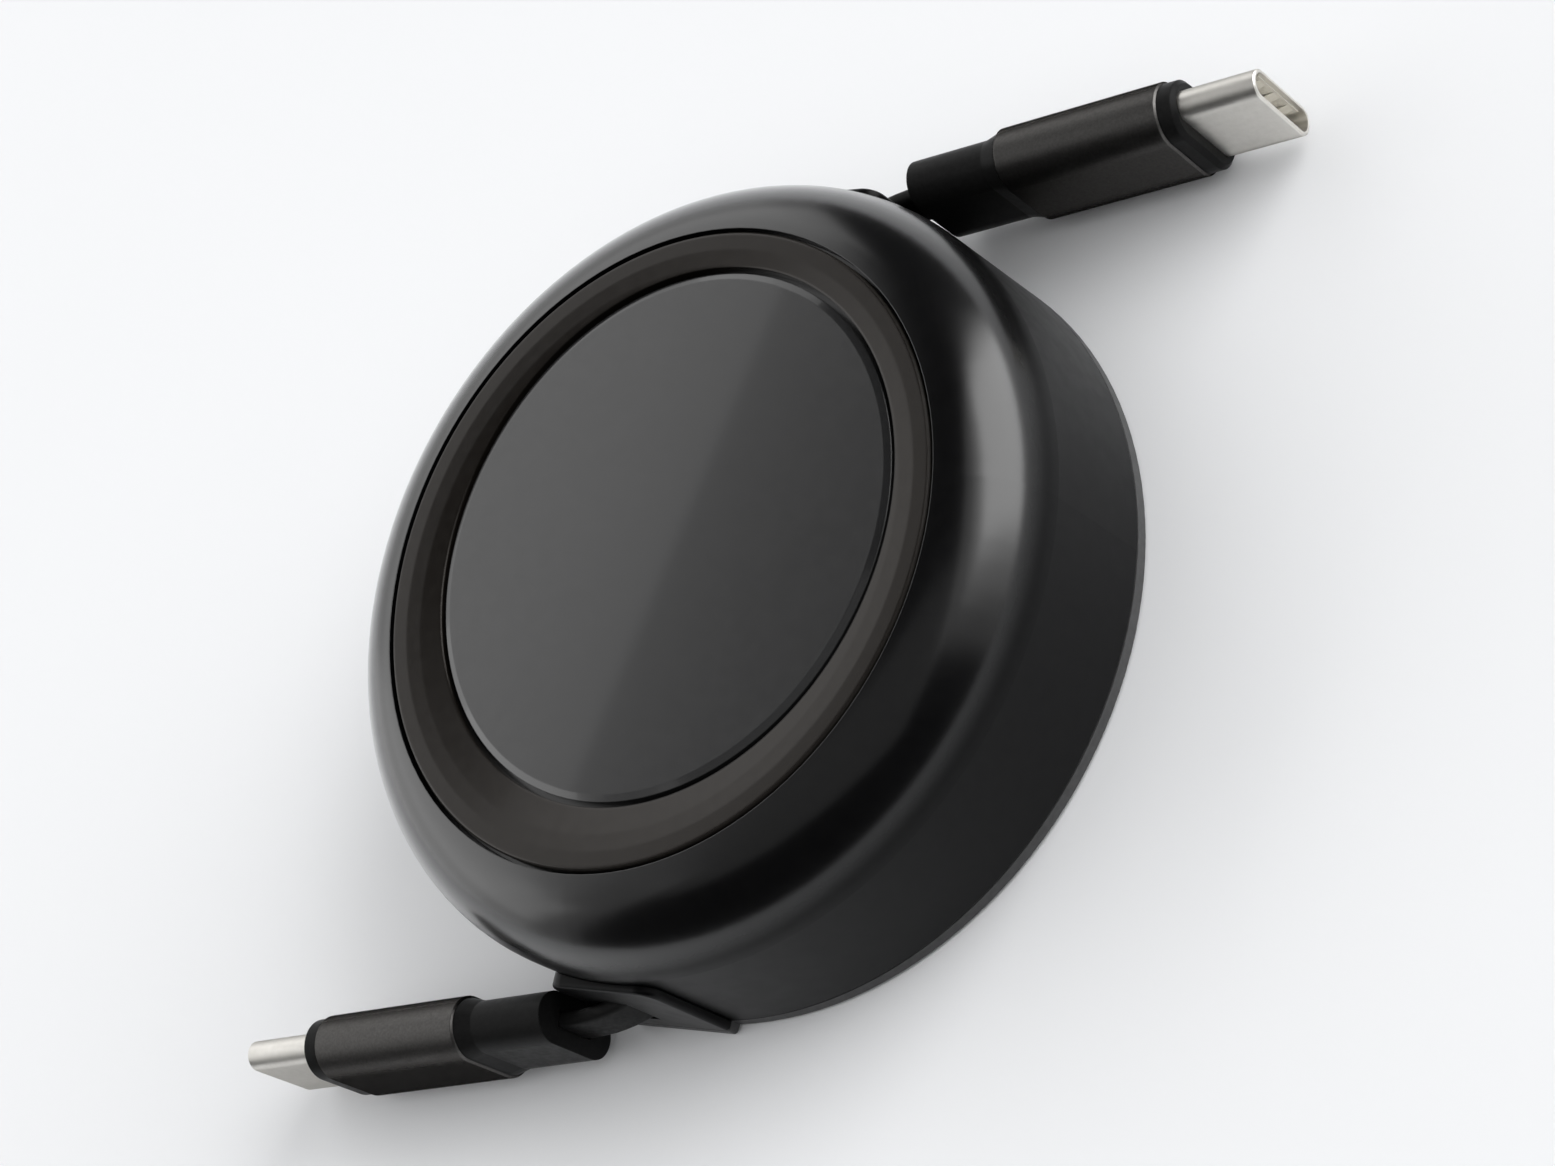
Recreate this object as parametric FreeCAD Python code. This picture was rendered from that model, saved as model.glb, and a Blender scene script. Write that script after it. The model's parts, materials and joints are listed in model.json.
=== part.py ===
import FreeCAD, Part
import math
import os

# Retractable USB-C cable: a round spring reel with a flat cable that leaves it on two opposite
# sides, and a USB-C plug on each end. Millimetres. The reel lies on its rear cover, with its axis
# along +Z, the face up, and the origin on the axis at the rear face. The upper plug points along
# +X from the +Y side. The lower plug is the same plug turned half a turn about the axis.

V = FreeCAD.Vector
AXIS = V(0, 0, 1)

# Reel housing
HOUSING_RADIUS = 31.65
FACE_HEIGHT = 18.93
RIM_RADIUS = 7.0
RIM_WIDTH = 6.07
WALL = 1.6
COVER_THICKNESS = 1.3
COVER_BEVEL = 0.3
COVER_SEAM = 0.15
COVER_LIP_HEIGHT = 1.5
COVER_LIP_WIDTH = 1.3
COVER_LIP_NOTCH = 0.3

# Trim on the face: a dished ring that steepens inwards band by band, and a disc seated a little off
# the reel's axis. The slopes are in degrees, from the outer band to the inner one.
TRIM_THICKNESS = 1.3
RING_GAP = 0.3
RING_WIDTH = 3.88
RING_OUTER_BEVEL = 0.15
RING_SLOPES = (1.5, 3.5, 6.0)
RING_BAND = 1.3
DISC_GAP = 0.42
DISC_SINK = 0.18
DISC_BEVEL_WIDTH = 0.55
DISC_BEVEL_DEPTH = 0.2
DISC_OFFSET = 1.15
DISC_OFFSET_ANGLE = 50.0

# Flat cable and the spool it winds on
CABLE_WIDTH = 3.8
CABLE_THICKNESS = 1.25
CABLE_HEIGHT = 5.2
COIL_WALL_GAP = 5.45
COIL_SIDE_GAP = 0.1
COIL_HUB_FIT = 0.03
TAIL_COIL_GAP = 0.075
FLANGE_OVERHANG = 1.0
FLANGE_THICKNESS = 1.0
HUB_RADIUS = 14.4
HUB_WALL = 1.4
BUSHING_WALL = 1.6
POST_RADIUS = 3.0
RUNNING_FIT = 0.05

# Power spring in its barrel, on top of the cable's layer
BARREL_RADIUS = 20.0
BARREL_WALL = 1.0
SPRING_STRIP = 0.2
SPRING_SIDE_GAP = 0.2
SPRING_TURNS = 2
SPRING_PITCH = 1.0
SPRING_GAP = 0.1
SPRING_SLOT = 0.5
SPRING_HOLD = 0.7

# Ball latch: a plate with an annular track turns under a ball that two ribs hold
LATCH_PLATE_THICKNESS = 1.2
LATCH_HEADROOM = 1.45
LATCH_BORE_GAP = 1.0
LATCH_BALL_RADIUS = 0.95
LATCH_TRACK_INSET = 6.0
LATCH_TRACK_DEPTH = 0.6
LATCH_TRAVEL = 0.6
LATCH_CLEARANCE = 0.15
LATCH_POCKETS = 4
LATCH_RIB_WIDTH = 1.0
LATCH_RIB_GAP = 0.3
LATCH_FLOOR_GAP = 0.05

# Screw that joins the front shell to the cover's post
SCREW_RADIUS = 1.0
SCREW_LENGTH = 6.0
SCREW_HEAD_RADIUS = 2.0
SCREW_HEAD_HEIGHT = 1.0
SCREW_CLEARANCE = 0.1
SCREW_THREAD_FIT = 0.02
SCREW_BOSS_RADIUS = 4.5
SCREW_BOSS_HEIGHT = 1.0

# Exit guides: flat pads on the side wall, turned a little past the top and the bottom, that stand
# further out towards the plug
GUIDE_TURN = 10.6
GUIDE_SHIFT = 1.75
GUIDE_LENGTH = 10.3
GUIDE_FRONT = 11.2
GUIDE_PROUD = 0.6
GUIDE_CORNER = 1.5
GUIDE_EDGE = 0.35
GUIDE_NECK_INSET = 1.0
GUIDE_DEPTH = 3.6
GUIDE_FIT = 0.03
TUNNEL_CLEARANCE = 0.2

# Cable tail from the coil to the plug
TAIL_BEND_START = 13.5
TAIL_BEND_RADIUS = 14.0

# Plugs: the neck's rear end is measured from the reel's axis, and the rest follows it
NECK_REAR = 14.45
NECK_LENGTH = 8.25
NECK_INSET = 0.55
FLARE_LENGTH = 1.4
SLEEVE_LENGTH = 14.35
SLEEVE_WALL = 0.5
SLEEVE_BEVEL = 0.15
MOULD_SIDE = 0.225
MOULD_FLAT = 0.9
NOSE_LENGTH = 1.5
NOSE_STEP = 0.18
NOSE_BEVEL = 0.35
MOULD_FIT = 0.02
SHELL_WIDTH = 8.25
SHELL_THICKNESS = 2.4
SHELL_EXPOSED = 6.45
SHELL_BURIED = 5.0
SHELL_WALL = 0.3
SHELL_BEVEL = 0.12
INSULATOR_RECESS = 2.4
CAVITY_WALL = 0.38
CAVITY_DEPTH = 5.4
CONTACT_COUNT = 12
CONTACT_PITCH = 0.5
CONTACT_WIDTH = 0.26
CONTACT_THICKNESS = 0.12
CONTACT_LENGTH = 4.7
BOARD_WIDTH = 7.2
BOARD_THICKNESS = 0.8
BOARD_LENGTH = 8.5

# Ground clips in the plug's mouth: a plate on each flat wall, with tabs that rise from windows in it
CLIP_THICKNESS = 0.12
CLIP_INSET = 0.35
TAB_COUNT = 3
TAB_PITCH = 2.05
TAB_WIDTH = 0.9
TAB_LENGTH = 1.1
TAB_RISE = 0.28
TAB_INSET = 0.2
TAB_SLIT = 0.06

# Radii and heights worked out from the sizes above
TRIM_FLOOR = FACE_HEIGHT - TRIM_THICKNESS
RING_SEAT_RADIUS = HOUSING_RADIUS - RIM_WIDTH
RING_RADIUS = RING_SEAT_RADIUS - RING_GAP
DISC_OPENING = RING_RADIUS - RING_WIDTH
DISC_RADIUS = DISC_OPENING - DISC_GAP
INNER_RADIUS = HOUSING_RADIUS - WALL
CEILING = TRIM_FLOOR - WALL
POST_TOP = CEILING - SCREW_BOSS_HEIGHT
COIL_LOW = CABLE_HEIGHT - CABLE_WIDTH / 2
COIL_HIGH = CABLE_HEIGHT + CABLE_WIDTH / 2
REAR_FLANGE_TOP = COIL_LOW - COIL_SIDE_GAP
REAR_FLANGE_LOW = REAR_FLANGE_TOP - FLANGE_THICKNESS
MID_FLANGE_LOW = COIL_HIGH + COIL_SIDE_GAP
MID_FLANGE_TOP = MID_FLANGE_LOW + FLANGE_THICKNESS
LATCH_PLATE_TOP = CEILING - LATCH_HEADROOM
BARREL_TOP = LATCH_PLATE_TOP - LATCH_PLATE_THICKNESS
LATCH_TRACK_RADIUS = BARREL_RADIUS - LATCH_TRACK_INSET
COIL_RADIUS = INNER_RADIUS - COIL_WALL_GAP
FLANGE_RADIUS = COIL_RADIUS + FLANGE_OVERHANG
# The cable's edge covers the wound coil's area.
CABLE_LENGTH = math.pi * (COIL_RADIUS ** 2 - HUB_RADIUS ** 2) / CABLE_THICKNESS
GUIDE_PLANE = HOUSING_RADIUS + GUIDE_PROUD
# The plug's axis lies level with the housing's side.
PLUG_OFFSET = HOUSING_RADIUS
SLEEVE_WIDTH = SHELL_WIDTH + 2 * (MOULD_SIDE + SLEEVE_WALL)
SLEEVE_THICKNESS = SHELL_THICKNESS + 2 * (MOULD_FLAT + SLEEVE_WALL)
NECK_WIDTH = SLEEVE_WIDTH - 2 * NECK_INSET
NECK_THICKNESS = SLEEVE_THICKNESS - 2 * NECK_INSET
SLEEVE_REAR = NECK_REAR + NECK_LENGTH
SLEEVE_FRONT = SLEEVE_REAR + SLEEVE_LENGTH
NOSE_FRONT = SLEEVE_FRONT + NOSE_LENGTH
SHELL_TIP = NOSE_FRONT + SHELL_EXPOSED
SHELL_REAR = NOSE_FRONT - SHELL_BURIED
INSULATOR_FRONT = SHELL_TIP - INSULATOR_RECESS
INSULATOR_WIDTH = SHELL_WIDTH - 2 * (SHELL_WALL + MOULD_FIT)
INSULATOR_THICKNESS = SHELL_THICKNESS - 2 * (SHELL_WALL + MOULD_FIT)
CAVITY_WIDTH = INSULATOR_WIDTH - 2 * CAVITY_WALL
CAVITY_THICKNESS = INSULATOR_THICKNESS - 2 * CAVITY_WALL


# Plain shapes

def cylinder(radius, low, high, centre=(0.0, 0.0)):
    return Part.makeCylinder(radius, high - low, V(centre[0], centre[1], low), AXIS)


def tube(outer, inner, low, high, centre=(0.0, 0.0)):
    return cylinder(outer, low, high, centre).cut(cylinder(inner, low, high, centre))


def box(low, high):
    return Part.makeBox(high[0] - low[0], high[1] - low[1], high[2] - low[2], V(*low))


def line(a, b):
    return Part.LineSegment(a, b).toShape()


def polar(radius, degrees):
    angle = math.radians(degrees)
    return (radius * math.cos(angle), radius * math.sin(angle))


def revolve(edges):
    """A solid of revolution about the reel's axis from a closed profile in the XZ plane."""
    face = Part.Face(Part.Wire(edges))
    return face.revolve(V(0, 0, 0), AXIS, 360)


def revolve_polygon(points):
    corners = [V(r, 0, z) for r, z in points]
    closed = corners[1:] + corners[:1]
    return revolve([line(a, b) for a, b in zip(corners, closed)])


def strip(chain, thickness, low, high):
    """A band of even thickness along tangent lines and arcs in the XY plane, raised from low to high.

    An item is ("line", start, end) or ("arc", centre, radius, first angle, last angle) in radians.
    """
    left, right = [], []
    for item in chain:
        for side, edges in ((1, left), (-1, right)):
            offset = side * thickness / 2
            if item[0] == "line":
                along = (item[2] - item[1]).normalize()
                shift = V(-along.y, along.x, 0) * offset
                edges.append(line(item[1] + shift, item[2] + shift))
            else:
                centre, radius, first, last = item[1:]
                turn = 1 if last > first else -1
                at = radius - turn * offset
                points = [centre + V(at * math.cos(a), at * math.sin(a), 0)
                          for a in (first, (first + last) / 2, last)]
                edges.append(Part.Arc(*points).toShape())
    start = line(right[0].valueAt(right[0].FirstParameter), left[0].valueAt(left[0].FirstParameter))
    end = line(left[-1].valueAt(left[-1].LastParameter), right[-1].valueAt(right[-1].LastParameter))
    wire = Part.Wire(Part.__sortEdges__([start] + left + [end] + right))
    band = Part.Face(wire).extrude(V(0, 0, high - low))
    band.translate(V(0, 0, low))
    return band


def stadium_wire(width, thickness, x):
    """A rounded slot outline across the plug's axis, wide along Z and thin along Y."""
    half = (width - thickness) / 2
    y, z, t = PLUG_OFFSET, CABLE_HEIGHT, thickness / 2
    corners = [V(x, y - t, z - half), V(x, y - t, z + half), V(x, y + t, z + half), V(x, y + t, z - half)]
    top = Part.Arc(corners[1], V(x, y, z + width / 2), corners[2]).toShape()
    bottom = Part.Arc(corners[3], V(x, y, z - width / 2), corners[0]).toShape()
    return Part.Wire([line(corners[0], corners[1]), top, line(corners[2], corners[3]), bottom])


def stadium(width, thickness, start, end):
    return Part.Face(stadium_wire(width, thickness, start)).extrude(V(end - start, 0, 0))


def plug_box(width, thickness, start, end, lift=0.0):
    """A box on the plug's axis, wide along Z and thin along Y, lifted along Y."""
    y = PLUG_OFFSET + lift
    return box((start, y - thickness / 2, CABLE_HEIGHT - width / 2),
               (end, y + thickness / 2, CABLE_HEIGHT + width / 2))


def edges_at(shape, x):
    """The edges that lie wholly in the plane across the plug's axis at x."""
    return [e for e in shape.Edges
            if abs(e.BoundBox.XMin - x) < 1e-4 and abs(e.BoundBox.XMax - x) < 1e-4]


def half_turn(shape):
    turned = shape.copy()
    turned.rotate(V(0, 0, 0), AXIS, 180)
    return turned


# Exit guide: a pad that lies on the side wall, with a neck through a notch in the wall

def guide_turned(shape):
    """Turns a shape that was made at the top of the reel to the upper guide's place."""
    shape.rotate(V(0, 0, 0), AXIS, -GUIDE_TURN)
    return shape


def guide_pad(low, high, corner):
    """The pad's block, from inside the wall to its flat outer face, with its front corners rounded."""
    half = GUIDE_LENGTH / 2
    base = HOUSING_RADIUS - WALL
    block = box((GUIDE_SHIFT - half, base, low), (GUIDE_SHIFT + half, GUIDE_PLANE, high))
    if corner:
        fronts = [e for e in block.Edges
                  if e.BoundBox.ZMin > high - 1e-4 and e.BoundBox.XLength < 1e-4]
        block = block.makeFillet(corner, fronts)
    outer = [e for e in block.Edges
             if e.BoundBox.YMin > GUIDE_PLANE - 1e-4 and e.BoundBox.ZMax > low + 1e-4]
    return block.makeFillet(GUIDE_EDGE, outer)


def guide_neck(grow):
    half = GUIDE_LENGTH / 2 - GUIDE_NECK_INSET + grow
    return box((GUIDE_SHIFT - half, HOUSING_RADIUS - GUIDE_DEPTH, COVER_THICKNESS),
               (GUIDE_SHIFT + half, HOUSING_RADIUS, GUIDE_FRONT - GUIDE_NECK_INSET + grow))


def tail_chain(reach):
    """The cable's line from the coil's edge, past a bend, to a station on the plug's axis."""
    ring = COIL_RADIUS + TAIL_COIL_GAP + CABLE_THICKNESS / 2
    # The bend's angle makes the inner run a tangent of the coil.
    level = PLUG_OFFSET - TAIL_BEND_RADIUS
    swing = math.hypot(level, TAIL_BEND_START)
    bend = math.acos((ring - TAIL_BEND_RADIUS) / swing) - math.atan2(TAIL_BEND_START, level)
    centre = V(TAIL_BEND_START, level, 0)
    turn_end = math.pi / 2 + bend
    inner = centre + V(math.cos(turn_end), math.sin(turn_end), 0) * TAIL_BEND_RADIUS
    inward = V(-math.cos(bend), -math.sin(bend), 0)
    touch = inner + inward * (-inner.dot(inward))
    bend_start = V(TAIL_BEND_START, PLUG_OFFSET, 0)
    return [("line", touch, inner),
            ("arc", centre, TAIL_BEND_RADIUS, turn_end, math.pi / 2),
            ("line", bend_start, V(reach, PLUG_OFFSET, 0))]


def make_tail():
    return strip(tail_chain(SLEEVE_REAR), CABLE_THICKNESS, COIL_LOW, COIL_HIGH)


def make_guide():
    pad = guide_pad(COVER_THICKNESS, GUIDE_FRONT, GUIDE_CORNER)
    pad = pad.cut(cylinder(HOUSING_RADIUS + GUIDE_FIT, 0, FACE_HEIGHT))
    guide = guide_turned(pad.fuse(guide_neck(0)).removeSplitter())
    tunnel = strip(tail_chain(SLEEVE_REAR), CABLE_THICKNESS + 2 * TUNNEL_CLEARANCE,
                   COIL_LOW - TUNNEL_CLEARANCE, COIL_HIGH + TUNNEL_CLEARANCE)
    return guide.cut(tunnel)


# Housing

def make_front_shell():
    # The rim's arc leaves the side wall in line with it and ends at the ring's seat.
    rim_low = FACE_HEIGHT - math.sqrt(RIM_RADIUS ** 2 - (RIM_RADIUS - RIM_WIDTH) ** 2)
    bulge = polar(RIM_RADIUS, 45)
    rim = Part.Arc(V(HOUSING_RADIUS, 0, rim_low),
                   V(HOUSING_RADIUS - RIM_RADIUS + bulge[0], 0, rim_low + bulge[1]),
                   V(RING_SEAT_RADIUS, 0, FACE_HEIGHT)).toShape()
    shoulder = RING_SEAT_RADIUS + WALL
    corners = [V(RING_SEAT_RADIUS, 0, FACE_HEIGHT), V(RING_SEAT_RADIUS, 0, TRIM_FLOOR), V(0, 0, TRIM_FLOOR),
               V(0, 0, CEILING), V(shoulder, 0, CEILING), V(INNER_RADIUS, 0, rim_low),
               V(INNER_RADIUS, 0, COVER_THICKNESS), V(HOUSING_RADIUS - COVER_SEAM, 0, COVER_THICKNESS),
               V(HOUSING_RADIUS, 0, COVER_THICKNESS + COVER_SEAM), V(HOUSING_RADIUS, 0, rim_low)]
    shell = revolve([rim] + [line(a, b) for a, b in zip(corners, corners[1:])])
    shell = shell.fuse(cylinder(SCREW_BOSS_RADIUS, POST_TOP, CEILING))
    for rib in latch_ribs():
        shell = shell.fuse(rib)
    hole = SCREW_RADIUS + SCREW_CLEARANCE
    head = SCREW_HEAD_RADIUS + SCREW_CLEARANCE
    shell = shell.cut(cylinder(hole, POST_TOP, TRIM_FLOOR))
    shell = shell.cut(cylinder(head, TRIM_FLOOR - SCREW_HEAD_HEIGHT, TRIM_FLOOR))
    notch = guide_turned(guide_neck(GUIDE_FIT))
    return shell.cut(notch).cut(half_turn(notch)).removeSplitter()


def make_rear_cover():
    cover = cylinder(HOUSING_RADIUS, 0, COVER_THICKNESS)
    pad = guide_turned(guide_pad(0, COVER_THICKNESS, 0))
    cover = cover.fuse(pad).fuse(half_turn(pad)).removeSplitter()
    rim = [e for e in cover.Edges if e.BoundBox.ZMax < 1e-4]
    cover = cover.makeChamfer(COVER_BEVEL, rim)
    lip_outer = INNER_RADIUS - RUNNING_FIT
    lip = tube(lip_outer, lip_outer - COVER_LIP_WIDTH, COVER_THICKNESS, COVER_THICKNESS + COVER_LIP_HEIGHT)
    notch = guide_turned(guide_neck(COVER_LIP_NOTCH))
    lip = lip.cut(notch).cut(half_turn(notch))
    thrust = POST_RADIUS + BUSHING_WALL
    cover = cover.fuse(lip)
    cover = cover.fuse(cylinder(thrust, COVER_THICKNESS, REAR_FLANGE_LOW - RUNNING_FIT))
    cover = cover.fuse(cylinder(POST_RADIUS, COVER_THICKNESS, POST_TOP))
    pilot = cylinder(SCREW_RADIUS + SCREW_THREAD_FIT, screw_tip() - SCREW_CLEARANCE, POST_TOP)
    slot = strip(spring_chain(), SPRING_SLOT, MID_FLANGE_TOP, POST_TOP)
    return cover.cut(pilot).cut(slot)


def screw_tip():
    return TRIM_FLOOR - SCREW_HEAD_HEIGHT - SCREW_LENGTH


def make_screw():
    seat = TRIM_FLOOR - SCREW_HEAD_HEIGHT
    return cylinder(SCREW_HEAD_RADIUS, seat, TRIM_FLOOR).fuse(cylinder(SCREW_RADIUS, screw_tip(), seat))


# Face trim

def make_face_ring():
    # The blank's bore lies wholly inside the disc's opening, which is off the axis.
    bore = DISC_OPENING - 2 * DISC_OFFSET
    edge = RING_RADIUS - RING_OUTER_BEVEL
    stops = [edge - RING_BAND, edge - 2 * RING_BAND, bore]
    dish = [(edge, FACE_HEIGHT)]
    for slope, stop in zip(RING_SLOPES, stops):
        radius, height = dish[-1]
        dish.append((stop, height - (radius - stop) * math.tan(math.radians(slope))))
    ring = revolve_polygon([(bore, TRIM_FLOOR), (RING_RADIUS, TRIM_FLOOR),
                            (RING_RADIUS, FACE_HEIGHT - RING_OUTER_BEVEL)] + dish)
    centre = polar(DISC_OFFSET, DISC_OFFSET_ANGLE)
    return ring.cut(cylinder(DISC_OPENING, TRIM_FLOOR, FACE_HEIGHT, centre))


def make_face_disc():
    top = FACE_HEIGHT - DISC_SINK
    disc = revolve_polygon([(0, TRIM_FLOOR), (DISC_RADIUS, TRIM_FLOOR), (DISC_RADIUS, top - DISC_BEVEL_DEPTH),
                            (DISC_RADIUS - DISC_BEVEL_WIDTH, top), (0, top)])
    centre = polar(DISC_OFFSET, DISC_OFFSET_ANGLE)
    disc.translate(V(centre[0], centre[1], 0))
    return disc


# Spool, spring and latch

def make_spool():
    bore = POST_RADIUS + RUNNING_FIT
    barrel_inner = BARREL_RADIUS - BARREL_WALL
    bushing = bore + BUSHING_WALL
    hub_inner = HUB_RADIUS - HUB_WALL
    return revolve_polygon([
        (bore, REAR_FLANGE_LOW), (bushing, REAR_FLANGE_LOW), (bushing, MID_FLANGE_LOW),
        (hub_inner, MID_FLANGE_LOW), (hub_inner, REAR_FLANGE_LOW),
        (FLANGE_RADIUS, REAR_FLANGE_LOW), (FLANGE_RADIUS, REAR_FLANGE_TOP), (HUB_RADIUS, REAR_FLANGE_TOP),
        (HUB_RADIUS, MID_FLANGE_LOW), (FLANGE_RADIUS, MID_FLANGE_LOW), (FLANGE_RADIUS, MID_FLANGE_TOP),
        (BARREL_RADIUS, MID_FLANGE_TOP), (BARREL_RADIUS, BARREL_TOP), (barrel_inner, BARREL_TOP),
        (barrel_inner, MID_FLANGE_TOP), (bore, MID_FLANGE_TOP)])


def make_coil():
    return tube(COIL_RADIUS, HUB_RADIUS + COIL_HUB_FIT, COIL_LOW, COIL_HIGH)


def spring_chain():
    """The spring's line: half circles that close in turn by turn, then an arc into the post."""
    radius = BARREL_RADIUS - BARREL_WALL - SPRING_GAP - SPRING_STRIP / 2
    start = radius
    chain = []
    for half in range(2 * SPRING_TURNS):
        side = 1 if half % 2 == 0 else -1
        centre = V(start - side * radius, 0, 0)
        first = 0.0 if side == 1 else math.pi
        chain.append(("arc", centre, radius, first, first + math.pi))
        start = centre.x - side * radius
        radius -= SPRING_PITCH / 2
    # The last arc heads for the axis and stops short of the screw.
    inner = start / 2
    stop = 2 * math.acos((SCREW_RADIUS + SPRING_HOLD) / start)
    chain.append(("arc", V(inner, 0, 0), inner, 0.0, stop))
    return chain


def make_spring():
    return strip(spring_chain(), SPRING_STRIP, MID_FLANGE_TOP + SPRING_SIDE_GAP, BARREL_TOP - SPRING_SIDE_GAP)


def track_half_width():
    return LATCH_BALL_RADIUS + LATCH_TRAVEL + LATCH_CLEARANCE


def make_latch_plate():
    half = track_half_width()
    plate = tube(BARREL_RADIUS, POST_RADIUS + LATCH_BORE_GAP, BARREL_TOP, LATCH_PLATE_TOP)
    floor = LATCH_PLATE_TOP - LATCH_TRACK_DEPTH
    plate = plate.cut(tube(LATCH_TRACK_RADIUS + half, LATCH_TRACK_RADIUS - half, floor, LATCH_PLATE_TOP))
    pocket_radius = LATCH_BALL_RADIUS + LATCH_CLEARANCE
    for k in range(LATCH_POCKETS):
        centre = polar(LATCH_TRACK_RADIUS + half, 360.0 * k / LATCH_POCKETS)
        plate = plate.cut(cylinder(pocket_radius, floor, LATCH_PLATE_TOP, centre))
    return plate


def ball_height():
    return LATCH_PLATE_TOP - LATCH_TRACK_DEPTH + LATCH_FLOOR_GAP + LATCH_BALL_RADIUS


def make_latch_ball():
    return Part.makeSphere(LATCH_BALL_RADIUS, V(-LATCH_TRACK_RADIUS, 0, ball_height()))


def latch_ribs():
    """Two ribs under the front wall, with the ball between them, along a radius on the -X side."""
    half = track_half_width() + LATCH_RIB_WIDTH
    near = LATCH_BALL_RADIUS + RUNNING_FIT
    low = LATCH_PLATE_TOP + LATCH_RIB_GAP
    ribs = []
    for edge in (near, -near - LATCH_RIB_WIDTH):
        ribs.append(box((-LATCH_TRACK_RADIUS - half, edge, low),
                        (-LATCH_TRACK_RADIUS + half, edge + LATCH_RIB_WIDTH, CEILING)))
    return ribs


# Plug, made at the upper exit

def make_sleeve():
    inner_width = SLEEVE_WIDTH - 2 * SLEEVE_WALL
    inner_thickness = SLEEVE_THICKNESS - 2 * SLEEVE_WALL
    outer = stadium(SLEEVE_WIDTH, SLEEVE_THICKNESS, SLEEVE_REAR, SLEEVE_FRONT)
    ends = edges_at(outer, SLEEVE_REAR) + edges_at(outer, SLEEVE_FRONT)
    outer = outer.makeChamfer(SLEEVE_BEVEL, ends)
    return outer.cut(stadium(inner_width, inner_thickness, SLEEVE_REAR, SLEEVE_FRONT))


def make_core():
    """The moulding inside the sleeve: a neck that flares to the sleeve, the core, and the nose in front."""
    fit = 2 * (SLEEVE_WALL + MOULD_FIT)
    core = stadium(SLEEVE_WIDTH - fit, SLEEVE_THICKNESS - fit, SLEEVE_REAR, SLEEVE_FRONT)
    step = 2 * NOSE_STEP
    nose = stadium(SLEEVE_WIDTH - step, SLEEVE_THICKNESS - step, SLEEVE_FRONT, NOSE_FRONT)
    nose = nose.makeChamfer(NOSE_BEVEL, edges_at(nose, NOSE_FRONT))
    neck = stadium(NECK_WIDTH, NECK_THICKNESS, NECK_REAR, SLEEVE_REAR - FLARE_LENGTH)
    flare_start = stadium_wire(NECK_WIDTH, NECK_THICKNESS, SLEEVE_REAR - FLARE_LENGTH)
    flare_end = stadium_wire(SLEEVE_WIDTH - step, SLEEVE_THICKNESS - step, SLEEVE_REAR)
    flare = Part.makeLoft([flare_start, flare_end], True, True)
    core = core.fuse(nose).fuse(neck).fuse(flare)
    buried = stadium(SHELL_WIDTH + 2 * MOULD_FIT, SHELL_THICKNESS + 2 * MOULD_FIT, SHELL_REAR, NOSE_FRONT)
    board = plug_box(BOARD_WIDTH + 2 * MOULD_FIT, BOARD_THICKNESS + 2 * MOULD_FIT, board_rear(), SHELL_REAR)
    cable = plug_box(CABLE_WIDTH + 2 * MOULD_FIT, CABLE_THICKNESS + 2 * MOULD_FIT, NECK_REAR, SLEEVE_REAR)
    return core.cut(buried).cut(board).cut(cable)


def board_rear():
    return SHELL_REAR - BOARD_LENGTH


def make_plug_shell():
    outer = stadium(SHELL_WIDTH, SHELL_THICKNESS, SHELL_REAR, SHELL_TIP)
    outer = outer.makeChamfer(SHELL_BEVEL, edges_at(outer, SHELL_TIP))
    walls = 2 * SHELL_WALL
    return outer.cut(stadium(SHELL_WIDTH - walls, SHELL_THICKNESS - walls, SHELL_REAR, SHELL_TIP))


def make_insulator():
    block = stadium(INSULATOR_WIDTH, INSULATOR_THICKNESS, SHELL_REAR, INSULATOR_FRONT)
    rear = INSULATOR_FRONT - CAVITY_DEPTH
    return block.cut(plug_box(CAVITY_WIDTH, CAVITY_THICKNESS, rear, INSULATOR_FRONT))


def make_contacts():
    """Two facing rows of contact strips on the cavity's walls."""
    rear = INSULATOR_FRONT - CAVITY_DEPTH
    lift = (CAVITY_THICKNESS - CONTACT_THICKNESS) / 2
    first = -(CONTACT_COUNT - 1) * CONTACT_PITCH / 2
    strips = []
    for side in (1, -1):
        for k in range(CONTACT_COUNT):
            contact = plug_box(CONTACT_WIDTH, CONTACT_THICKNESS, rear, rear + CONTACT_LENGTH, side * lift)
            contact.translate(V(0, 0, first + k * CONTACT_PITCH))
            strips.append(contact)
    return Part.makeCompound(strips)


def ground_tab(front, lift):
    """A thin tab that leaves its plate at the front and rises towards the plug's middle."""
    outer = PLUG_OFFSET + lift + CLIP_THICKNESS / 2
    inner = outer - CLIP_THICKNESS
    low = CABLE_HEIGHT - TAB_WIDTH / 2
    rear = front - TAB_LENGTH
    corners = [V(front, inner, low), V(front, outer, low), V(rear, outer - TAB_RISE, low),
               V(rear, inner - TAB_RISE, low)]
    return Part.Face(Part.makePolygon(corners + corners[:1])).extrude(V(0, 0, TAB_WIDTH))


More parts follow.
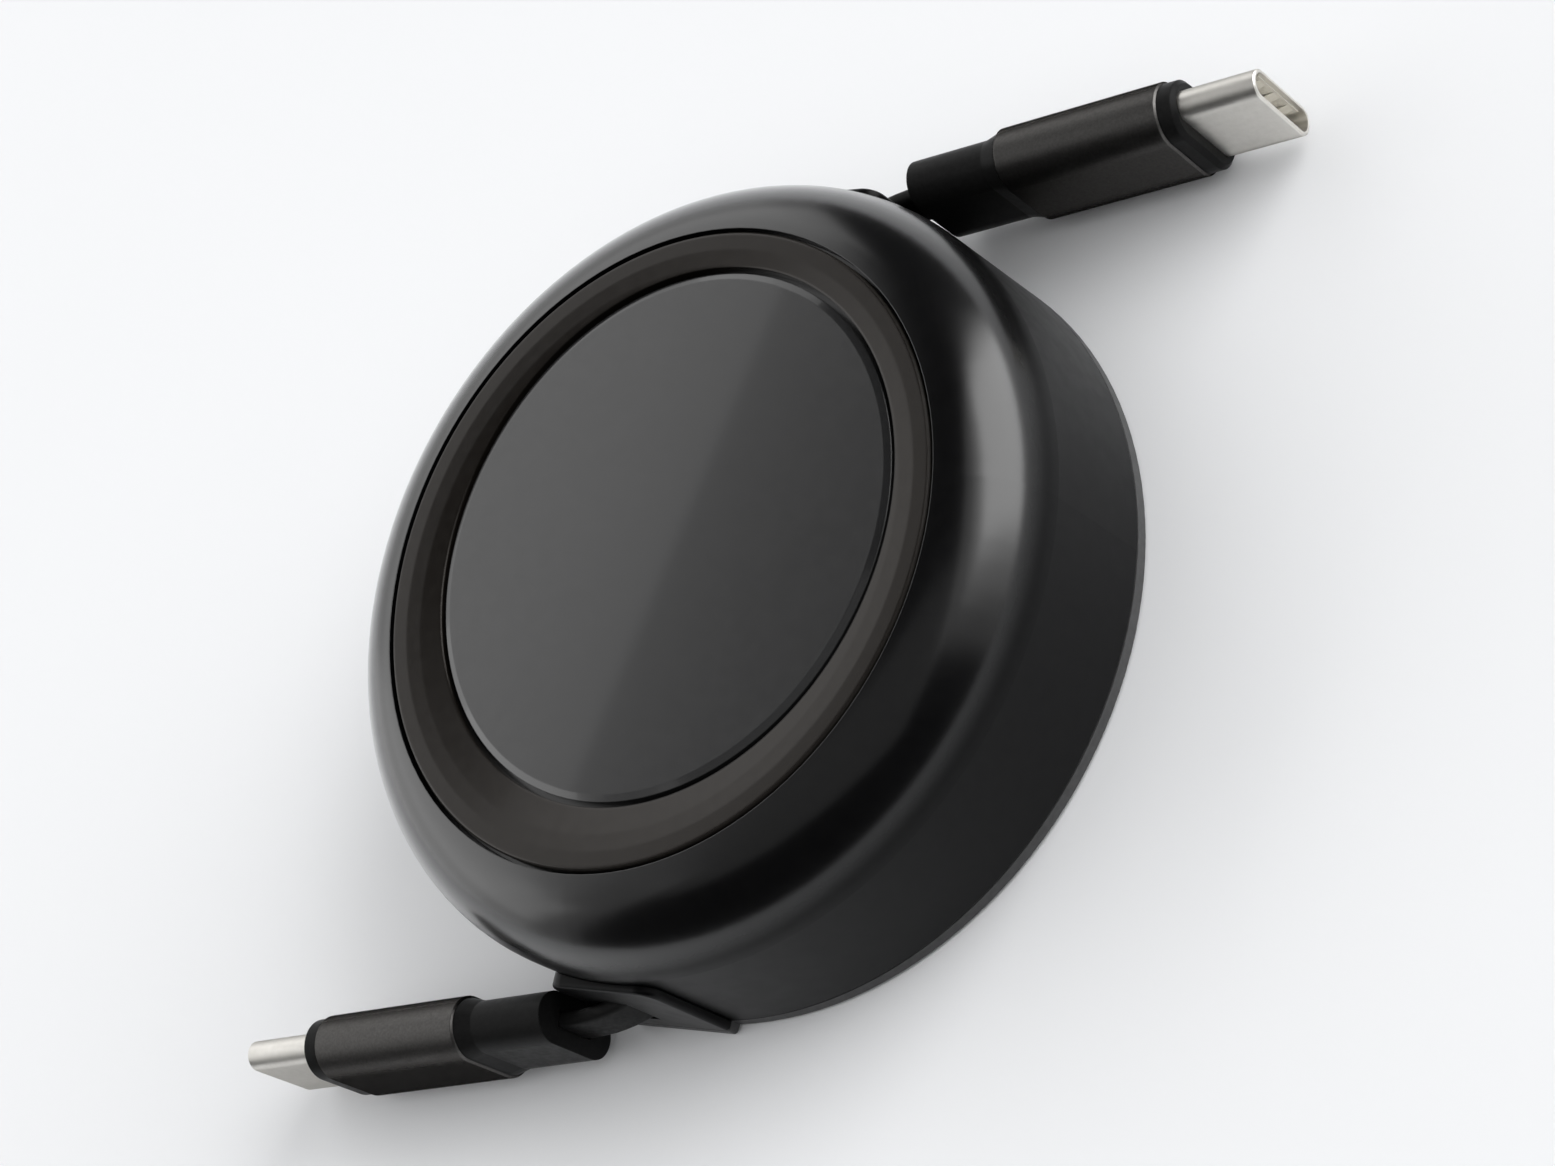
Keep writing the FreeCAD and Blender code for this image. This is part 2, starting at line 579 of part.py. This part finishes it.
def make_ground_clips():
    lift = (INSULATOR_THICKNESS - CLIP_THICKNESS) / 2
    front = SHELL_TIP - CLIP_INSET
    tab_front = front - TAB_INSET
    clip = plug_box(SHELL_WIDTH - SHELL_THICKNESS, CLIP_THICKNESS, INSULATOR_FRONT, front, lift)
    window_rear = tab_front - TAB_LENGTH - TAB_SLIT
    window = plug_box(TAB_WIDTH + 2 * TAB_SLIT, CLIP_THICKNESS, window_rear, tab_front, lift)
    for k in range(TAB_COUNT):
        shift = V(0, 0, (k - (TAB_COUNT - 1) / 2) * TAB_PITCH)
        clip = clip.cut(window.translated(shift)).fuse(ground_tab(tab_front, lift).translated(shift))
    other = clip.copy()
    other.rotate(V(0, PLUG_OFFSET, CABLE_HEIGHT), V(1, 0, 0), 180)
    return Part.makeCompound([clip, other])


def make_board():
    return plug_box(BOARD_WIDTH, BOARD_THICKNESS, board_rear(), SHELL_REAR)


PLUG_PIECES = {
    "plug_sleeve": make_sleeve,
    "plug_core": make_core,
    "plug_shell": make_plug_shell,
    "plug_insulator": make_insulator,
    "plug_contacts": make_contacts,
    "plug_board": make_board,
    "plug_ground_clips": make_ground_clips,
    "exit_guide": make_guide,
    "cable_tail": make_tail,
}


def build():
    parts = {
        "front_shell": make_front_shell(),
        "rear_cover": make_rear_cover(),
        "face_ring": make_face_ring(),
        "face_disc": make_face_disc(),
        "centre_screw": make_screw(),
        "spool": make_spool(),
        "cable_coil": make_coil(),
        "power_spring": make_spring(),
        "latch_plate": make_latch_plate(),
        "latch_ball": make_latch_ball(),
    }
    for name, make in PLUG_PIECES.items():
        piece = make()
        parts["upper_" + name] = piece
        parts["lower_" + name] = half_turn(piece)
    return parts


os.makedirs("parts", exist_ok=True)
for node, shape in build().items():
    shape.exportStep("parts/" + node + ".step")
    print(node, len(shape.Solids), "solids", round(shape.Volume, 2), "mm3, valid", shape.isValid())
print("cable wound on the spool:", round(CABLE_LENGTH), "mm")
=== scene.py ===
"""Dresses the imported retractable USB-C cable: materials, the cables' soft runs, floor, light and camera."""
import json
import math

import bpy
from mathutils import Matrix, Vector


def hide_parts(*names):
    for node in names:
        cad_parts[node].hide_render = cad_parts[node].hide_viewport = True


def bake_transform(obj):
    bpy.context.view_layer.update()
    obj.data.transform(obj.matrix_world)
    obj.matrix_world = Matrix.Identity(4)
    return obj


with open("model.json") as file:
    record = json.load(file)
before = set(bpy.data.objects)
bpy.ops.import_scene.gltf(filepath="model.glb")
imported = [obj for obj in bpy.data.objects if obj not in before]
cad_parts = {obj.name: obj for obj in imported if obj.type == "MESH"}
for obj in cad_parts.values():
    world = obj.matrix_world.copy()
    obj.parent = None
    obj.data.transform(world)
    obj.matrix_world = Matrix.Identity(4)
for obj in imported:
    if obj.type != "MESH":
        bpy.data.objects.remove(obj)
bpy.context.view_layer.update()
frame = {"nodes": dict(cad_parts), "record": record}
nodes = frame["nodes"]
MM = 0.001

# Camera, fitted to the photo: angles in degrees, lengths in millimetres, focal length in the photo's pixels
CAMERA_AZIMUTH = 56.372
CAMERA_ELEVATION = 46.384
CAMERA_ROLL = -59.697
CAMERA_PLACE = (167.728, -108.780, 214.558)
CAMERA_CLIP = 5.0
FOCAL_PIXELS = 3771.5
IMAGE_WIDTH = 1555
SENSOR_WIDTH = 36.0

# Floor, in metres: a plain disc a hair below the part, whose colour dips a little with a broad noise
FLOOR_RADIUS = 12.0
FLOOR_SIDES = 64
FLOOR_DROP = 5e-5
FLOOR_COLOUR = (0.82, 0.828, 0.842)
FLOOR_DIP = 0.995
FLOOR_GRAIN = 40.0
FLOOR_ROUGHNESS = 0.9

# Studio, in metres: soft upright panels, each by its azimuth, the elevations of its foot and its top and its
# half width in degrees, and its radiance. They are layered, each a step behind the last, so that their
# edges fade. One more hangs overhead.
AMBIENT = 0.02
PANEL_DISTANCE = 6.0
PANEL_STEP = 0.08
PANELS = {
    "panel_left": {"azimuth": 157.0, "foot": 18.0, "top": 45.3, "half_width": 50.0, "radiance": 0.7},
    "panel_left_low": {"azimuth": 157.0, "foot": 0.0, "top": 45.3, "half_width": 50.0, "radiance": 0.55},
    "panel_left_edge": {"azimuth": 155.0, "foot": 0.0, "top": 52.0, "half_width": 40.0, "radiance": 0.28},
    "panel_left_fade": {"azimuth": 190.0, "foot": 0.0, "top": 58.0, "half_width": 28.0, "radiance": 0.46},
    "panel_right": {"azimuth": 37.0, "foot": 0.0, "top": 43.0, "half_width": 23.0, "radiance": 2.2},
    "panel_right_edge": {"azimuth": 35.0, "foot": 0.0, "top": 47.0, "half_width": 28.0, "radiance": 1.3},
    "panel_right_soft": {"azimuth": 31.0, "foot": 0.0, "top": 53.0, "half_width": 34.0, "radiance": 0.8},
    "panel_right_fade": {"azimuth": 25.0, "foot": 0.0, "top": 62.0, "half_width": 41.0, "radiance": 0.62},
}
OVERHEAD_PLACE = (0.14, -1.64, 6.0)
OVERHEAD_SIZE = (8.45, 5.45)
OVERHEAD_RADIANCE = 0.26
# A wide soft fill, which lights the floor evenly and leaves no glint
FILL_PLACE = (0.0, 0.0, 10.0)
FILL_SIZE = (30.0, 30.0)
FILL_RADIANCE = 0.55
DOWN = (0.0, 0.0, -1.0)

# Textures: the run of a noise's values that is used, its detail and the relief's, two stretches of the
# coordinates, a soft edge's samples, and how far a fine noise swings the roughness
NOISE_RUN = (0.3, 0.7)
NOISE_DETAIL = 3.0
RELIEF_DETAIL = 2.0
EVEN = (1.0, 1.0, 1.0)
FLAT = (1.0, 1.0, 0.0)
EDGE_SAMPLES = 6
ROUGHNESS_SWING = 0.02

# Heights between which the housing's gloss turns to satin, in millimetres, and the roughness of both
SATIN_TOP = 13.0
GLOSS_LOW = 15.6
SATIN_ROUGHNESS = 0.34
GLOSS_ROUGHNESS = 0.22

# The ring's edge: its radius and width in millimetres, and the roughness inside and on it
RING_EDGE = 25.12
RING_EDGE_WIDTH = 0.03
RING_ROUGHNESS = 0.18
RING_EDGE_ROUGHNESS = 0.8

# The cable's run, as in the solids, in millimetres, and its mesh
PLUG_OFFSET = 31.65
CABLE_HEIGHT = 5.2
CABLE_WIDTH = 3.8
CABLE_THICKNESS = 1.25
CABLE_EDGE = 0.5
CABLE_CREASE = 60.0
BEND_START = 13.5
BEND_RADIUS = 14.0
BEND_STEPS = 6
CORNER_STEPS = 4
COIL_TOUCH_RADIUS = 25.3
STRETCH_STATIONS = (13.8, 14.1)
NECK_REAR = 14.45
SLEEVE_REAR = 22.7


# Nodes of a material

def shader_of(material):
    return material.node_tree.nodes["Principled BSDF"]


def new_material(name, sockets):
    """A Principled material with constant values on its own sockets."""
    material = bpy.data.materials.new(name)
    material.use_nodes = True
    for socket, value in sockets.items():
        target = shader_of(material).inputs[socket]
        target.default_value = (*value, 1.0) if isinstance(value, tuple) else value
    return material


def grey(level):
    return (level, level, level)


def add(material, kind, **values):
    """A new node, with each value set on the input of that name or else on the node's own property."""
    node = material.node_tree.nodes.new(kind)
    for key, value in values.items():
        if key in node.inputs:
            node.inputs[key].default_value = value
        else:
            setattr(node, key, value)
    return node


def link(material, source, target):
    material.node_tree.links.new(source, target)


def coordinates(material, stretch=EVEN):
    """Object coordinates in metres, stretched along an axis for drawn or moulded grain."""
    coords = add(material, "ShaderNodeTexCoord")
    mapping = add(material, "ShaderNodeMapping", Scale=stretch)
    link(material, coords.outputs["Object"], mapping.inputs["Vector"])
    return mapping.outputs["Vector"]


def noise(material, scale, detail=NOISE_DETAIL, stretch=EVEN):
    node = add(material, "ShaderNodeTexNoise", Scale=scale, Detail=detail)
    link(material, coordinates(material, stretch), node.inputs["Vector"])
    return node.outputs["Fac"]


def spread(material, source, run, low, high):
    """Maps a value's run, from its start to its end, smoothly onto low to high."""
    node = add(material, "ShaderNodeMapRange", interpolation_type="SMOOTHSTEP")
    node.inputs["From Min"].default_value, node.inputs["From Max"].default_value = run
    node.inputs["To Min"].default_value = low
    node.inputs["To Max"].default_value = high
    link(material, source, node.inputs["Value"])
    return node.outputs["Result"]


def tint(material, scale, low, high):
    """Runs the base colour from one tone to another with a noise."""
    ramp = add(material, "ShaderNodeValToRGB")
    for element, position, colour in zip(ramp.color_ramp.elements, NOISE_RUN, (low, high)):
        element.position = position
        element.color = (*colour, 1.0)
    link(material, noise(material, scale), ramp.inputs["Fac"])
    link(material, ramp.outputs["Color"], shader_of(material).inputs["Base Color"])


def roughen(material, scale, low, high, stretch=EVEN):
    """Runs the roughness from low to high with a noise."""
    grain = noise(material, scale, stretch=stretch)
    link(material, spread(material, grain, NOISE_RUN, low, high), shader_of(material).inputs["Roughness"])


def roughen_about(material, broad, scale, detail=NOISE_DETAIL):
    """Feeds the roughness with a broad change over the piece and a fine noise that swings about it."""
    fine = spread(material, noise(material, scale, detail), NOISE_RUN, -ROUGHNESS_SWING, ROUGHNESS_SWING)
    total = add(material, "ShaderNodeMath", operation="ADD")
    link(material, broad, total.inputs[0])
    link(material, fine, total.inputs[1])
    link(material, total.outputs["Value"], shader_of(material).inputs["Roughness"])


def relief(material, scale, depth, edge=0.0, detail=RELIEF_DETAIL, stretch=EVEN):
    """Fine relief of a depth in metres, over edges that are softened to a radius in millimetres."""
    node = add(material, "ShaderNodeBump", Strength=1.0, Distance=depth)
    link(material, noise(material, scale, detail, stretch), node.inputs["Height"])
    if edge:
        soft = add(material, "ShaderNodeBevel", Radius=edge * MM, samples=EDGE_SAMPLES)
        link(material, soft.outputs["Normal"], node.inputs["Normal"])
    for socket in ("Normal", "Coat Normal"):
        link(material, node.outputs["Normal"], shader_of(material).inputs[socket])


# Materials, one for each finish

def gloss_black():
    """Gloss on the rim that turns to satin down the side wall."""
    material = new_material("housing_gloss", {"Specular IOR Level": 0.12, "Coat Roughness": 0.2,
                                              "Coat IOR": 1.48})
    tint(material, scale=900.0, low=(0.0016, 0.0016, 0.0018), high=(0.0026, 0.0026, 0.0028))
    height = add(material, "ShaderNodeSeparateXYZ")
    link(material, coordinates(material), height.inputs["Vector"])
    run = (SATIN_TOP * MM, GLOSS_LOW * MM)
    coat = spread(material, height.outputs["Z"], run, low=0.0, high=1.0)
    link(material, coat, shader_of(material).inputs["Coat Weight"])
    broad = spread(material, height.outputs["Z"], run, low=SATIN_ROUGHNESS, high=GLOSS_ROUGHNESS)
    roughen_about(material, broad, scale=650.0, detail=4.0)
    relief(material, scale=3200.0, depth=4e-7, edge=0.1)
    return material


def satin_cover():
    """Lighter satin of the rear cover, whose edge shows as a fine line."""
    material = new_material("cover_satin", {"Specular IOR Level": 0.22})
    tint(material, scale=1800.0, low=(0.052, 0.052, 0.053), high=(0.068, 0.068, 0.069))
    roughen(material, scale=1500.0, low=0.42, high=0.5)
    relief(material, scale=6000.0, depth=3e-6, edge=0.1)
    return material


def trim_ring():
    """Warm black, with soft edges between its bands and a dull bevel at its outer edge."""
    material = new_material("face_ring", {"Specular IOR Level": 0.28, "Specular Tint": (1.0, 0.93, 0.87),
                                          "Coat Weight": 0.1, "Coat Roughness": 0.05})
    tint(material, scale=1400.0, low=(0.0052, 0.0043, 0.0036), high=(0.0068, 0.0057, 0.0048))
    radius = add(material, "ShaderNodeVectorMath", operation="LENGTH")
    link(material, coordinates(material, FLAT), radius.inputs[0])
    run = (RING_EDGE * MM, (RING_EDGE + RING_EDGE_WIDTH) * MM)
    broad = spread(material, radius.outputs["Value"], run, low=RING_ROUGHNESS, high=RING_EDGE_ROUGHNESS)
    roughen_about(material, broad, scale=900.0)
    relief(material, scale=5200.0, depth=4e-7, edge=0.3)
    return material


def trim_disc():
    """Polished dark grey under a thin clear coat."""
    material = new_material("face_disc", {"Specular IOR Level": 0.5, "Coat Weight": 0.3,
                                          "Coat Roughness": 0.02})
    tint(material, scale=2600.0, low=(0.0115, 0.0115, 0.0118), high=(0.0145, 0.0145, 0.0148))
    roughen(material, scale=1200.0, low=0.14, high=0.17)
    relief(material, scale=7000.0, depth=3e-7, edge=0.12)
    return material


def anodised():
    """Dark metal, whose low edge tint keeps the sleeve's flats dark from the side."""
    material = new_material("sleeve_metal", {"Metallic": 1.0, "Specular Tint": grey(0.04)})
    tint(material, scale=5000.0, low=(0.095, 0.0922, 0.0896), high=(0.12, 0.1165, 0.113))
    roughen(material, scale=2400.0, low=0.36, high=0.44)
    relief(material, scale=9000.0, depth=4e-6, edge=0.1)
    return material


def moulding():
    """Satin black of the plug's nose and neck."""
    material = new_material("plug_moulding", {"Specular IOR Level": 0.07})
    tint(material, scale=3000.0, low=grey(0.0075), high=grey(0.0105))
    roughen(material, scale=2000.0, low=0.34, high=0.42)
    relief(material, scale=8000.0, depth=4e-6, edge=0.15)
    return material


def plated():
    """Warm nickel with a faint drawn grain along the plug."""
    material = new_material("plug_nickel", {"Metallic": 1.0, "Specular Tint": grey(0.2)})
    tint(material, scale=1800.0, low=(0.8, 0.78, 0.735), high=(0.85, 0.83, 0.785))
    roughen(material, scale=1500.0, low=0.38, high=0.46, stretch=(0.25, 1.0, 1.0))
    relief(material, scale=6000.0, depth=1e-6, edge=0.06, stretch=(0.2, 1.0, 1.0))
    return material


def jacket():
    """The cable's satin black jacket, with a grain drawn along it."""
    material = new_material("cable_jacket", {"Specular IOR Level": 0.12})
    tint(material, scale=1500.0, low=grey(0.006), high=grey(0.01))
    roughen(material, scale=2500.0, low=0.42, high=0.55)
    relief(material, scale=5000.0, depth=1e-5, detail=3.0, stretch=(0.1, 1.0, 1.0))
    return material


def metal(name, low, high, smooth, rough, metallic=1.0):
    """Drawn metal between two tones."""
    material = new_material(name, {"Metallic": metallic})
    tint(material, scale=3000.0, low=low, high=high)
    roughen(material, scale=2500.0, low=smooth, high=rough, stretch=(0.2, 1.0, 1.0))
    relief(material, scale=7000.0, depth=2e-6, stretch=(0.15, 1.0, 1.0))
    return material


def plastic(name, low, high, smooth, rough):
    """Plain moulding between two tones."""
    material = new_material(name, {})
    tint(material, scale=1500.0, low=low, high=high)
    roughen(material, scale=1800.0, low=smooth, high=rough)
    relief(material, scale=6000.0, depth=4e-6)
    return material


FINISH = {
    "housing_gloss": gloss_black(),
    "face_ring": trim_ring(),
    "face_disc": trim_disc(),
    "spool_plastic": plastic("spool_plastic", (0.07, 0.07, 0.075), (0.09, 0.09, 0.095), 0.45, 0.6),
    "cable_jacket": jacket(),
    "sleeve_metal": anodised(),
    "plug_moulding": moulding(),
    "plug_nickel": plated(),
    "insulator": plastic("insulator", grey(0.02), grey(0.03), 0.4, 0.55),
    "contact_gold": metal("contact_gold", (0.78, 0.55, 0.2), (0.84, 0.62, 0.26), 0.2, 0.3),
    "board": plastic("board", (0.015, 0.1, 0.04), (0.025, 0.14, 0.06), 0.3, 0.45),
    "steel": metal("steel", (0.5, 0.5, 0.51), (0.6, 0.6, 0.61), 0.25, 0.35),
    # The pale satin strip that lines the plug's mouth
    "clip_steel": metal("clip_steel", (0.8, 0.77, 0.7), (0.86, 0.83, 0.76), 0.4, 0.5, metallic=0.25),
}
OWN_FINISH = {"rear_cover": satin_cover()}
for row in frame["record"]["subparts"]:
    finish = OWN_FINISH.get(row["node"], FINISH[row["material_slot"]])
    nodes[row["node"]].material_slots[0].material = finish


# The cables' runs from the coil through the guides to the plugs

def route():
    """Points along the upper cable in the plane it lies in, from the coil's edge to inside the plug."""
    level = PLUG_OFFSET - BEND_RADIUS
    swing = math.hypot(level, BEND_START)
    bend = math.acos((COIL_TOUCH_RADIUS - BEND_RADIUS) / swing) - math.atan2(BEND_START, level)
    inward = Vector((-math.cos(bend), -math.sin(bend), 0.0))
    inner = Vector((BEND_START - BEND_RADIUS * math.sin(bend), level + BEND_RADIUS * math.cos(bend), 0.0))
    touch = inner - inward * inner.dot(inward)
    stations = [touch, touch.lerp(inner, 0.5)]
    for k in range(BEND_STEPS + 1):
        angle = math.pi / 2 + bend * (1 - k / BEND_STEPS)
        stations.append(Vector((BEND_START + BEND_RADIUS * math.cos(angle),
                                level + BEND_RADIUS * math.sin(angle), 0.0)))
    stations += [Vector((x, PLUG_OFFSET, 0.0)) for x in (*STRETCH_STATIONS, NECK_REAR, SLEEVE_REAR)]
    return stations


def section():
    """The jacket's outline: wide along Z, thin across, with rounded edges."""
    points = []
    for cy, cz, first in ((1, 1, 0.0), (-1, 1, 90.0), (-1, -1, 180.0), (1, -1, 270.0)):
        for k in range(CORNER_STEPS + 1):
            angle = math.radians(first + 90.0 * k / CORNER_STEPS)
            points.append((cy * (CABLE_THICKNESS / 2 - CABLE_EDGE) + CABLE_EDGE * math.cos(angle),
                           cz * (CABLE_WIDTH / 2 - CABLE_EDGE) + CABLE_EDGE * math.sin(angle)))
    return points


def cable_mesh(name, turn):
    """The jacket's outline carried along the route, and turned about the reel's axis."""
    stations = route()
    outline = section()
    verts = []
    for k, station in enumerate(stations):
        ahead = stations[min(k + 1, len(stations) - 1)]
        behind = stations[max(k - 1, 0)]
        along = (ahead - behind).normalized()
        across = Vector((-along.y, along.x, 0.0))
        for y, z in outline:
            point = station + across * y + Vector((0.0, 0.0, CABLE_HEIGHT + z))
            verts.append(turn @ (point * MM))
    count = len(outline)
    faces = []
    for k in range(len(stations) - 1):
        for j in range(count):
            a, b = k * count + j, k * count + (j + 1) % count
            faces.append((a, b, b + count, a + count))
    faces.append(tuple(reversed(range(count))))
    faces.append(tuple(range((len(stations) - 1) * count, len(stations) * count)))
    mesh = bpy.data.meshes.new(name)
    mesh.from_pydata(verts, [], faces)
    mesh.polygons.foreach_set("use_smooth", [True] * len(mesh.polygons))
    mesh.materials.append(FINISH["cable_jacket"])
    return mesh


def cable_run(side, turn):
    """One side's cable, run from the coil's edge through the guide into the plug, in place of the solid tail
    that it hides.
    """
    name = side + "_cable"
    cable = bpy.data.objects.new(name, cable_mesh(name, turn))
    bpy.context.collection.objects.link(cable)
    edges = cable.modifiers.new("edges", "EDGE_SPLIT")
    edges.split_angle = math.radians(CABLE_CREASE)
    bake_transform(cable)
    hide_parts(side + "_cable_tail")


cable_run("upper", Matrix.Identity(3))
cable_run("lower", Matrix.Rotation(math.pi, 3, "Z"))


# Floor, light and camera

def add_floor():
    """The plain pale floor."""
    mesh = bpy.data.meshes.new("floor")
    turns = [2 * math.pi * k / FLOOR_SIDES for k in range(FLOOR_SIDES)]
    rim = [(FLOOR_RADIUS * math.cos(turn), FLOOR_RADIUS * math.sin(turn), 0.0) for turn in turns]
    mesh.from_pydata(rim, [], [tuple(range(FLOOR_SIDES))])
    floor = bpy.data.objects.new("floor", mesh)
    floor.location.z = -FLOOR_DROP
    material = new_material("floor", {"Roughness": FLOOR_ROUGHNESS, "Specular IOR Level": 0.0})
    dip = tuple(FLOOR_DIP * channel for channel in FLOOR_COLOUR)
    tint(material, FLOOR_GRAIN, dip, FLOOR_COLOUR)
    mesh.materials.append(material)
    bpy.context.collection.objects.link(floor)


def add_panel(name, spot, facing, size, radiance):
    """A soft rectangle of light at a spot, turned to face a direction, of even brightness."""
    light = bpy.data.lights.new(name, "AREA")
    light.shape = "RECTANGLE"
    light.size, light.size_y = size
    light.energy = math.pi * size[0] * size[1] * radiance
    panel = bpy.data.objects.new(name, light)
    panel.location = spot
    panel.rotation_euler = Vector(facing).to_track_quat("-Z", "Y").to_euler()
    bpy.context.collection.objects.link(panel)
    return panel


def add_lights():
    """The studio's panels and a faint even world."""
    for step, (name, panel) in enumerate(PANELS.items()):
        distance = PANEL_DISTANCE + PANEL_STEP * step
        azimuth = math.radians(panel["azimuth"])
        outward = Vector((math.cos(azimuth), math.sin(azimuth), 0.0))
        foot = distance * math.tan(math.radians(panel["foot"]))
        height = distance * math.tan(math.radians(panel["top"])) - foot
        width = 2 * distance * math.tan(math.radians(panel["half_width"]))
        spot = outward * distance + Vector((0.0, 0.0, foot + height / 2))
        add_panel(name, spot, -outward, (width, height), panel["radiance"])
    add_panel("panel_overhead", OVERHEAD_PLACE, DOWN, OVERHEAD_SIZE, OVERHEAD_RADIANCE)
    fill = add_panel("panel_fill", FILL_PLACE, DOWN, FILL_SIZE, FILL_RADIANCE)
    fill.visible_glossy = False
    world = bpy.data.worlds.new("studio")
    world.use_nodes = True
    world.node_tree.nodes["Background"].inputs["Color"].default_value = (*grey(AMBIENT), 1.0)
    bpy.context.scene.world = world


def add_camera():
    """The photo's camera, by its azimuth, elevation and roll."""
    azimuth, elevation, roll = (math.radians(a) for a in (CAMERA_AZIMUTH, CAMERA_ELEVATION, CAMERA_ROLL))
    back = Vector((math.sin(azimuth) * math.cos(elevation), -math.cos(azimuth) * math.cos(elevation),
                   math.sin(elevation)))
    level = Vector((0.0, 0.0, 1.0)).cross(back).normalized()
    upright = back.cross(level)
    right = level * math.cos(roll) + upright * math.sin(roll)
    up = upright * math.cos(roll) - level * math.sin(roll)
    data = bpy.data.cameras.new("camera")
    data.sensor_width = SENSOR_WIDTH
    data.lens = FOCAL_PIXELS / IMAGE_WIDTH * SENSOR_WIDTH
    data.clip_start = CAMERA_CLIP * MM
    camera = bpy.data.objects.new("camera", data)
    turn = Matrix((right, up, back)).transposed().to_4x4()
    camera.matrix_world = Matrix.Translation(Vector(CAMERA_PLACE) * MM) @ turn
    bpy.context.collection.objects.link(camera)
    bpy.context.scene.camera = camera


add_floor()
add_lights()
add_camera()
bpy.context.scene.view_settings.view_transform = "Standard"

bpy.context.view_layer.update()
